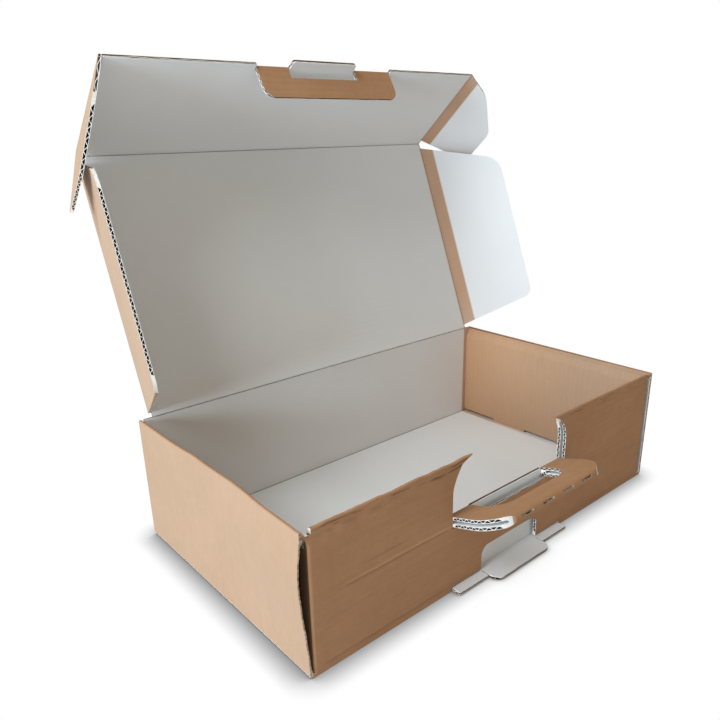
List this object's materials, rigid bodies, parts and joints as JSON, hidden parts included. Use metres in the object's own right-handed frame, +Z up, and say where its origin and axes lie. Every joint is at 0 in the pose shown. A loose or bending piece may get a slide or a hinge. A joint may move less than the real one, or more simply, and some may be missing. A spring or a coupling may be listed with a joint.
{
  "type": "corrugated mailer box",
  "caption": "Corrugated mailer box folded from one sheet, with a fold-out carrying handle, tuck-in lid and side flaps, kraft outside and white inside, standing open.",
  "frame": {"origin": "middle of the tray's base, on the surface that the box stands on", "axes": "+X to the right across the front wall with the handle, +Y towards the back wall that the lid folds from, +Z up"},
  "size_m": [0.5463, 0.3963, 0.4355],
  "materials": {
    "kraft_board": "matt kraft paper",
    "white_board": "matt white paper"
  },
  "bodies": {
    "tray": {"tray": "kraft_board"},
    "handle": {"handle": "kraft_board"},
    "lid": {"lid": "white_board"},
    "lid_flap_left": {"lid_flap_left": "white_board"},
    "lid_flap_right": {"lid_flap_right": "white_board"},
    "tuck_panel": {"tuck_panel": "white_board"},
    "dust_flap_left": {"dust_flap_left": "white_board"},
    "dust_flap_right": {"dust_flap_right": "white_board"},
    "lock_flap": {"lock_flap": "kraft_board"}
  },
  "joints": [
    {"name": "lid_crease", "type": "hinge", "parent": "tray", "child": "lid", "pos_m": [0, 0.1285, 0.1233], "axis": [-1, 0, 0], "range_deg": [-36, 68]},
    {"name": "tuck_crease", "type": "hinge", "parent": "lid", "child": "tuck_panel", "pos_m": [0, 0.2172, 0.35436], "axis": [-1, 0, 0], "range_deg": [-6, 70]},
    {"name": "left_lid_flap_crease", "type": "hinge", "parent": "lid", "child": "lid_flap_left", "pos_m": [-0.2197, 0.17285, 0.23883], "axis": [0, -0.3584, -0.9336], "range_deg": [-16, 0]},
    {"name": "right_lid_flap_crease", "type": "hinge", "parent": "lid", "child": "lid_flap_right", "pos_m": [0.2197, 0.17285, 0.23883], "axis": [0, 0.3584, 0.9336], "range_deg": [-54, 0]},
    {"name": "left_dust_flap_crease", "type": "hinge", "parent": "tuck_panel", "child": "dust_flap_left", "pos_m": [-0.2197, 0.17323, 0.39258], "axis": [0, 0.7547, -0.6561], "range_deg": [0, 67]},
    {"name": "right_dust_flap_crease", "type": "hinge", "parent": "tuck_panel", "child": "dust_flap_right", "pos_m": [0.2197, 0.17323, 0.39258], "axis": [0, -0.7547, 0.6561], "range_deg": [0, 28]},
    {"name": "lock_flap_crease", "type": "hinge", "parent": "tuck_panel", "child": "lock_flap", "pos_m": [0, 0.13267, 0.42784], "axis": [-1, 0, 0], "range_deg": [-25, 100]},
    {"name": "handle_crease", "type": "hinge", "parent": "tray", "child": "handle", "pos_m": [0, -0.1255, 0.067], "axis": [1, 0, 0], "range_deg": [-72, 18]}
  ]
}
